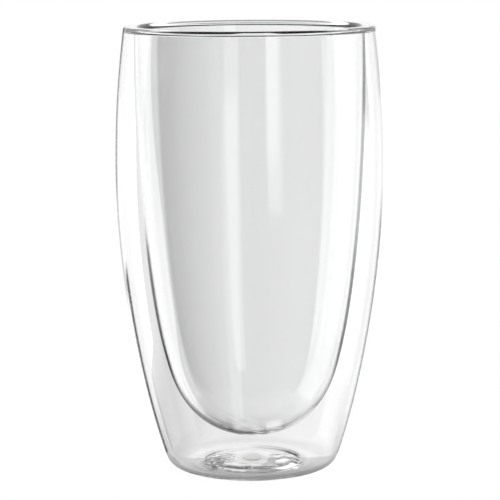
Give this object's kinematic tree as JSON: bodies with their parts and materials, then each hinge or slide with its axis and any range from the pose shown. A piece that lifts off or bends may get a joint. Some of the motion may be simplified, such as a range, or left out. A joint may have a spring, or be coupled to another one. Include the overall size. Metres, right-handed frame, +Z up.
{
  "type": "double walled drinking glass",
  "caption": "Tall double walled tumbler: a thin inner glass fused at the mouth into a wider outer glass, with insulating air between and a plugged vent under the base.",
  "frame": {"origin": "on the table plane, under the middle of the foot", "axes": "+Z up along the axis of the glass, from the foot to the mouth; X and Y are alike, because the glass is round"},
  "size_m": [0.09, 0.09, 0.149],
  "materials": {
    "outer_glass": "clear blown borosilicate glass, fire polished",
    "inner_glass": "clear blown borosilicate glass, fire polished",
    "rim_glass": "clear glass, flame rounded",
    "silicone": "translucent clear silicone, satin"
  },
  "bodies": {
    "root": {"outer_vessel": "outer_glass", "inner_vessel": "inner_glass", "rim_weld": "rim_glass", "vent_plug": "silicone"}
  },
  "joints": []
}
